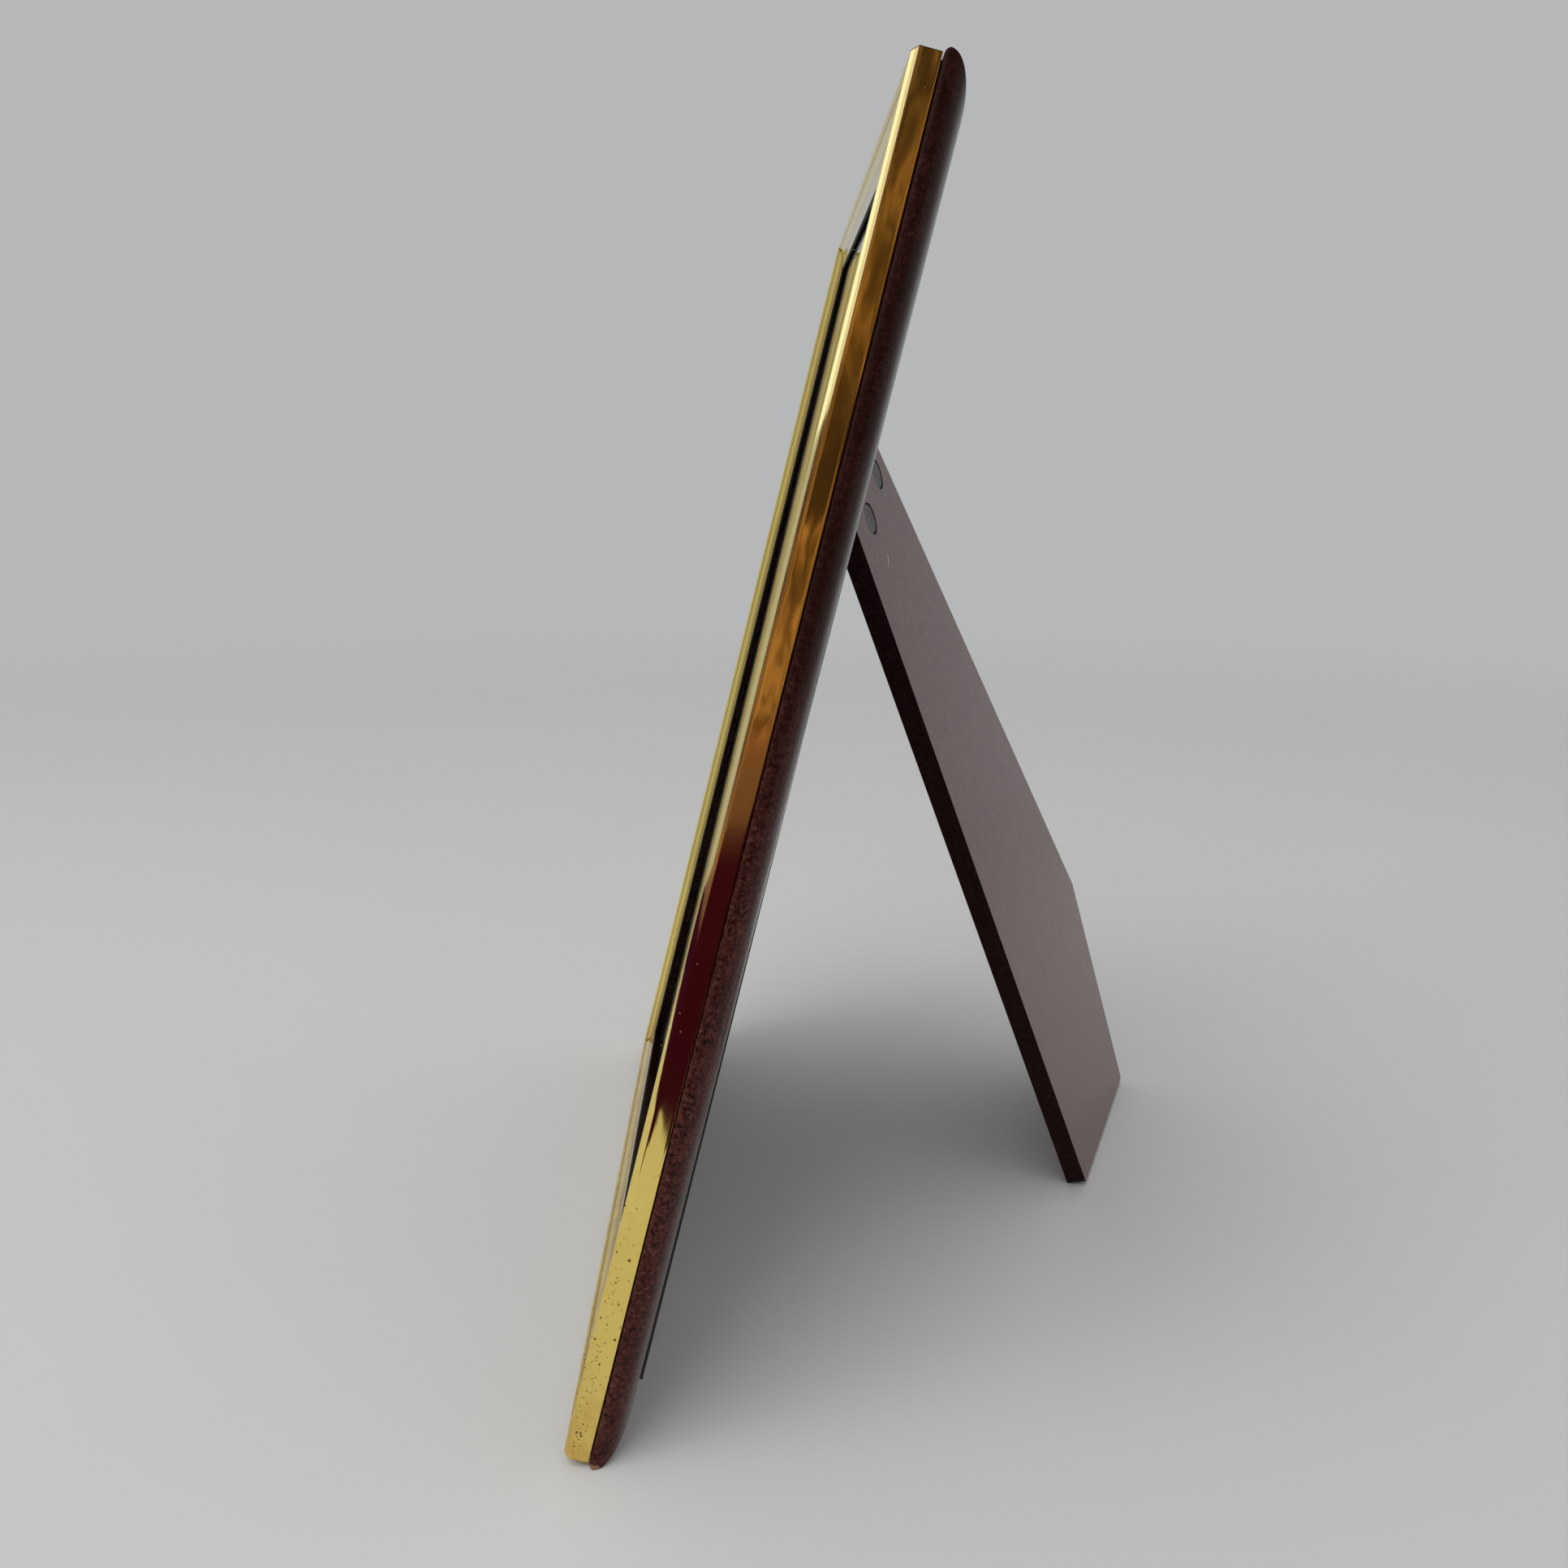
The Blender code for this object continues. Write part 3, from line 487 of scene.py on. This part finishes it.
def leg_lacquer():
    """Glossy mauve-brown lacquer on the leg's two faces with a painted shade ring round each
    rivet, raw dark fibre on its cut edges.
    """
    made, m, shader = new_material("leg lacquer")
    place = object_place(m)
    facing = m.node("TexCoord").outputs["Normal"]
    turn = m.node("VectorMath", {0: facing, 1: LEG_FACE}, operation='DOT_PRODUCT')
    face = m.span(m.math('ABSOLUTE', turn.outputs["Value"]), 0.90, 0.97)
    cloud = m.group(smudge, Vector=place, Scale=30.0, Softness=0.25)[0]
    mottle = m.group(smudge, Vector=place, Scale=260.0, Softness=0.2)[0]
    grain = m.group(fibre, Vector=m.stretch(place, (1, 1, 1), (0.0, -0.6, 1.2)),
                    Along=500.0, Across=1400.0)
    dots = m.noise(place, 1300.0, 3.0, 0.75)
    hair = m.group(scratches, Vector=place, Amount=0.05)[0]
    away = [m.node("VectorMath", {0: place, 1: rivet}, operation='DISTANCE').outputs["Value"]
            for rivet in RIVETS]
    # Painted shade: a dark ring on the lacquer round each rivet head.
    ring = m.span(m.math('MINIMUM', away[0], away[1]), 4.5 * MM, 4.2 * MM)
    nick = m.group(short_scratch, Vector=place)[0]
    lacquer = m.mix(cloud, (0.104, 0.032, 0.024, 1), (0.078, 0.025, 0.021, 1))
    lacquer = m.mix(m.math('MULTIPLY', mottle, 0.65), lacquer, (0.034, 0.011, 0.010, 1))
    lacquer = m.mix(m.math('MULTIPLY', m.span(dots, 0.48, 0.62), 0.8), lacquer,
                    (0.17, 0.064, 0.046, 1))
    lacquer = m.mix(m.math('MULTIPLY', hair, 0.4), lacquer, (0.24, 0.21, 0.19, 1))
    # Painted shade round the rivet heads.
    lacquer = m.mix(m.math('MULTIPLY', ring, 0.85), lacquer, (0.012, 0.008, 0.007, 1))
    lacquer = m.mix(nick, lacquer, (0.46, 0.42, 0.38, 1))
    raw = m.mix(grain[0], (0.0075, 0.0022, 0.0020, 1), (0.026, 0.0075, 0.0062, 1))
    raw = m.mix(m.span(dots, 0.62, 0.78), raw, (0.060, 0.020, 0.016, 1))
    m.put(shader, "Base Color", m.mix(face, raw, lacquer))
    gloss = m.math('ADD', m.blend(mottle, 0.14, 0.20), m.math('MULTIPLY', hair, 0.2))
    m.put(shader, "Roughness", m.blend(face, m.blend(grain[1], 0.75, 0.95), gloss))
    m.put(shader, "Specular IOR Level", m.blend(face, 0.15, 0.36))
    peel = m.math('MULTIPLY', m.noise(place, 420.0, 2.0), 0.25)
    relief = m.blend(face, m.math('MULTIPLY', grain[0], 3.0), m.math('SUBTRACT', peel, hair))
    m.put(shader, "Normal", m.bump(relief, 0.00004, 0.9))
    return made


def clear_glass():
    """Window glass, a little green, with faint wipe marks that blur its reflection."""
    made, m, shader = new_material("clear glass")
    wipe = m.group(smudge, Vector=m.stretch(object_place(m), (1.0, 1.0, 0.4)), Scale=30.0,
                   Softness=0.2)[0]
    m.put(shader, "Base Color", m.mix(wipe, (0.93, 0.96, 0.95, 1), (0.90, 0.94, 0.93, 1)))
    shader.inputs["Transmission Weight"].default_value = 1.0
    shader.inputs["IOR"].default_value = 1.5
    m.put(shader, "Roughness", m.blend(wipe, 0.01, 0.045))
    return made


def paper(name, dark, light, flecks):
    """Card or board: pulp clouds, scattered flecks and a slight tooth."""
    made, m, shader = new_material(name)
    place = object_place(m)
    pulp = m.group(smudge, Vector=place, Scale=220.0, Softness=0.3)[0]
    fleck = m.group(pits, Vector=m.stretch(place, (1.0, 1.0, 0.45)), Scale=700.0,
                    Amount=0.12)[0]
    m.put(shader, "Base Color", m.mix(m.math('MULTIPLY', fleck, 0.5),
                                      m.mix(pulp, dark, light), flecks))
    m.put(shader, "Roughness", m.blend(pulp, 0.72, 0.9))
    m.put(shader, "Normal", m.bump(m.noise(place, 2600.0, 3.0), 0.00003, 0.6))
    return made


def black_hardboard():
    """Thin black paint on hardboard: fine pressed texture, scuffs and worn patches."""
    made, m, shader = new_material("black hardboard")
    place = m.stretch(object_place(m), (1, 1, 1), (LEAN, 0.0, 0.0))
    rub = m.group(smudge, Vector=place, Scale=14.0, Softness=0.22)[0]
    hair = m.group(scratches, Vector=place, Amount=0.08)[0]
    press = m.group(fibre, Vector=place, Along=700.0, Across=900.0)
    tone = m.mix(rub, (0.010, 0.009, 0.009, 1), (0.022, 0.019, 0.018, 1))
    tone = m.mix(m.math('MULTIPLY', hair, 0.5), tone, (0.10, 0.075, 0.055, 1))
    m.put(shader, "Base Color", m.mix(m.math('MULTIPLY', press[1], 0.3), tone,
                                      (0.034, 0.028, 0.025, 1)))
    m.put(shader, "Roughness", m.blend(rub, 0.42, 0.66))
    m.put(shader, "Normal", m.bump(press[0], 0.00003, 0.7))
    return made


def metal(name, bright, dull, smooth, worn, spotted):
    """Small metal fittings: cloudy tone, hairlines, and a few corrosion spots."""
    made, m, shader = new_material(name)
    place = object_place(m)
    cloud = m.group(smudge, Vector=place, Scale=320.0, Softness=0.25)[0]
    hair = m.group(scratches, Vector=place, Amount=0.10)[0]
    spot = m.group(pits, Vector=place, Scale=900.0, Amount=spotted)[0]
    tone = m.mix(cloud, bright, dull)
    m.put(shader, "Base Color", m.mix(m.math('MULTIPLY', spot, 0.8), tone,
                                      (0.075, 0.05, 0.035, 1)))
    m.put(shader, "Metallic", m.blend(spot, 1.0, 0.3))
    rough = m.blend(cloud, smooth, worn)
    m.put(shader, "Roughness", m.math('ADD', rough, m.math('MULTIPLY', hair, 0.15)))
    m.put(shader, "Normal", m.bump(m.math('SUBTRACT', hair, spot), 0.00002, 0.7))
    return made


brass = polished_brass()
lacquer = burgundy_lacquer()
steel = metal("dull steel", (0.46, 0.45, 0.43, 1), (0.26, 0.25, 0.24, 1), 0.30, 0.48, 0.06)
rivet_steel = metal("rivet steel", (0.13, 0.12, 0.11, 1), (0.085, 0.078, 0.07, 1), 0.34,
                    0.5, 0.06)
stamped = metal("stamped brass", (0.66, 0.49, 0.19, 1), (0.40, 0.28, 0.11, 1), 0.24, 0.42,
                0.08)
FINISHES = {
    "easel_leg": leg_lacquer(),
    "glass_pane": clear_glass(),
    "photo_card": paper("black card", (0.009, 0.009, 0.010, 1), (0.015, 0.015, 0.016, 1),
                        (0.030, 0.029, 0.028, 1)),
    "filler_board": paper("grey board", (0.24, 0.23, 0.21, 1), (0.33, 0.31, 0.28, 1),
                          (0.12, 0.10, 0.08, 1)),
    "back_panel": black_hardboard(),
    "leg_rivet_1": rivet_steel,
    "leg_rivet_2": rivet_steel,
    "turn_button_1": stamped,
    "turn_button_2": stamped,
    "turn_button_3": stamped,
    "turn_button_4": stamped,
}

for name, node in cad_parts.items():
    if not name.startswith(("brass_rail", "wood_rail")):
        node.data.materials.clear()
        node.data.materials.append(FINISHES.get(name, steel))

RINGS = (("brass", brass_outline(), BRASS_HALF, brass, "brass_front", 0.02 * MM),
         ("wood", wood_outline(), WOOD_HALF, lacquer, "burgundy_wood", 0.03 * MM))
for ring, outline, half, look, slot, unevenness in RINGS:
    for number, side in enumerate(SIDES):
        rail = mitred_rail(f"{ring}_{side}", outline, half, side, unevenness, 7 + number)
        rail.data.materials.append(look)
        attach(rail, "frame")
        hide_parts(f"{ring}_rail_{side}")


# ---------------------------------------------------------------- studio


def stage_mesh(name, corners, faces):
    """A mesh that belongs to the studio and not to the part."""
    mesh = bpy.data.meshes.new(name)
    mesh.from_pydata(corners, [], faces)
    made = bpy.data.objects.new(name, mesh)
    bpy.context.scene.collection.objects.link(made)
    return made


def pale_floor():
    """A wide matt floor that fades into the pale surroundings."""
    made = stage_mesh("floor", [(-6, -6, 0), (6, -6, 0), (6, 6, 0), (-6, 6, 0)],
                      [(0, 1, 2, 3)])
    look, m, shader = new_material("pale floor")
    place = object_place(m)
    patch = m.group(smudge, Vector=place, Scale=3.0, Softness=0.3)[0]
    m.put(shader, "Base Color", m.mix(patch, (0.665, 0.665, 0.655, 1),
                                      (0.69, 0.69, 0.68, 1)))
    shader.inputs["Roughness"].default_value = 0.7
    haze = m.node("Emission", {"Color": PALE, "Strength": 1.0})
    reach = m.node("VectorMath", {0: place}, operation='LENGTH')
    fade = m.node("MixShader", {0: m.span(reach.outputs["Value"], 0.55, 1.7),
                                1: shader.outputs[0], 2: haze.outputs[0]})
    m.put(look.node_tree.nodes["Material Output"], "Surface", fade.outputs[0])
    made.data.materials.append(look)


def room_card():
    """What the brass mirrors on its camera side: a warm, dim room beyond the table's edge.

    Only mirrors see it. The near edge rises to a low hump and drops in a short step, and the
    colours run away from that edge and up the upright part. Both are given as lists.
    """
    y = np.concatenate(((-3.0,), np.linspace(-0.080, -0.066, 57), (3.0,)))
    edge = np.interp(y * 1000, (-77.5, -75.5, -74.2, -72.8, -71.4, -70.7, -70.3, -69.5, -68.0),
                     (0.265, 0.2753, 0.285, 0.290, 0.291, 0.286, 0.274, 0.2625, 0.255))
    rows = ((edge, 0.0004), (np.full_like(y, 1.2), 0.0004), (np.full_like(y, 1.2), 2.2))
    corners = np.concatenate([np.stack((x, y, np.full_like(y, z)), -1) for x, z in rows])
    index = np.arange(len(corners)).reshape(3, -1)
    faces = np.stack((index[:-1, :-1], index[1:, :-1], index[1:, 1:], index[:-1, 1:]), -1)
    made = stage_mesh("room_card", corners.tolist(), faces.reshape(-1, 4).tolist())
    look = bpy.data.materials.new("room card")
    look.use_nodes = True
    look.node_tree.nodes.clear()
    m = Maker(look.node_tree)
    place = object_place(m)
    parts = m.node("SeparateXYZ", {0: place}).outputs
    broad = m.noise(m.stretch(place, (7.0, 60.0, 9.0)), 1.0, 2.0)
    fine = m.noise(m.stretch(place, (25.0, 110.0, 32.0)), 1.0, 2.0)
    away = m.span(parts[0], 0.40, 0.9)
    wave = m.math('ADD', m.math('MULTIPLY', m.math('SUBTRACT', broad, 0.5), 0.26),
                  m.math('MULTIPLY', m.math('SUBTRACT', fine, 0.5), 0.06))
    run = m.math('ADD', m.math('ADD', parts[0], parts[2]), m.math('MULTIPLY', wave, away))
    blot = m.noise(m.stretch(place, (9.0, 75.0, 13.0)), 1.0, 1.0, 0.4, 0.5)
    shade = m.math('MULTIPLY', m.span(blot, 0.52, 0.545), m.span(parts[0], 0.9, 1.1))
    glint = m.math('MULTIPLY', m.span(blot, 0.445, 0.42), m.span(parts[0], 0.9, 1.1))
    ramp = m.node("ValToRGB", {0: m.math('DIVIDE', run, ROOM_REACH)})
    stops = ((0.29, (0.034, 0.0033, 0.018)), (0.62, (0.038, 0.004, 0.019)),
             (0.70, (0.16, 0.08, 0.07)), (0.88, (0.18, 0.09, 0.075)),
             (1.00, (0.30, 0.12, 0.09)), (1.03, (0.05, 0.03, 0.03)),
             (1.05, (0.34, 0.17, 0.11)), (1.21, (0.36, 0.19, 0.11)),
             (1.222, (0.05, 0.03, 0.02)), (1.235, (0.40, 0.217, 0.125)),
             (1.285, (0.44, 0.23, 0.13)), (1.295, (0.05, 0.03, 0.02)),
             (1.31, (0.30, 0.15, 0.08)), (1.355, (0.17, 0.085, 0.041)),
             (1.37, (0.09, 0.047, 0.03)), (1.45, (0.08, 0.043, 0.028)),
             (1.57, (0.24, 0.126, 0.057)), (1.69, (0.20, 0.11, 0.05)),
             (1.72, (0.028, 0.029, 0.028)), (ROOM_REACH, (0.02, 0.02, 0.02)))
    elements = ramp.color_ramp.elements
    for number, (where, colour) in enumerate(stops):
        element = elements[number] if number < 2 else elements.new(where / ROOM_REACH)
        element.position = where / ROOM_REACH
        element.color = (*colour, 1.0)
    colour = m.mix(m.math('MULTIPLY', shade, 0.88), ramp.outputs[0],
                   (0.040, 0.022, 0.016, 1.0))
    colour = m.mix(m.math('MULTIPLY', glint, 0.75), colour, (0.52, 0.26, 0.13, 1.0))
    glow = m.node("Emission", {"Color": colour, "Strength": 1.0})
    output = m.node("OutputMaterial")
    m.put(output, "Surface", glow.outputs[0])
    made.data.materials.append(look)
    made.visible_camera = False
    made.visible_diffuse = False
    made.visible_shadow = False
    made.visible_transmission = False
    made.visible_volume_scatter = False


def soft_light(name, place, aim, size, energy, colour):
    """A rectangular light panel at place, facing aim."""
    data = bpy.data.lights.new(name, 'AREA')
    data.shape = 'RECTANGLE'
    data.size, data.size_y = size
    data.energy = energy
    data.color = colour
    made = bpy.data.objects.new(name, data)
    direction = np.array(place) - np.array(aim)
    flat = math.hypot(direction[0], direction[1])
    made.location = place
    made.rotation_euler = (math.atan2(flat, direction[2]), 0.0,
                           math.atan2(direction[0], -direction[1]))
    bpy.context.scene.collection.objects.link(made)


def soft_world():
    """Pale surroundings: full strength where seen or mirrored, weaker as a light."""
    world = bpy.data.worlds.new("studio")
    bpy.context.scene.world = world
    world.use_nodes = True
    m = Maker(world.node_tree)
    background = world.node_tree.nodes["Background"]
    background.inputs["Color"].default_value = PALE
    path = m.node("LightPath").outputs
    m.put(background, "Strength", m.blend(path["Is Diffuse Ray"], 1.0, 1.12))


def camera():
    """The camera, at the side of the frame and a little above its middle."""
    data = bpy.data.cameras.new("camera")
    data.sensor_width = 36.0
    data.lens = CAMERA_LENS
    data.clip_start = 0.01
    made = bpy.data.objects.new("camera", data)
    made.location = CAMERA_PLACE
    made.rotation_euler = tuple(math.radians(angle) for angle in CAMERA_TURN)
    bpy.context.scene.collection.objects.link(made)
    bpy.context.scene.camera = made


pale_floor()
room_card()
soft_world()
soft_light("key", (0.85, -0.6, 1.55), (0.0, 0.0, 0.1), (1.3, 1.3), 13.0, (1.0, 0.99, 0.97))
soft_light("window", (0.56, -1.3, 0.98), (0.1, 0.0, 0.3), (0.62, 0.8), 1.1, (1.0, 1.0, 0.98))
camera()
bpy.context.scene.view_settings.view_transform = 'Standard'
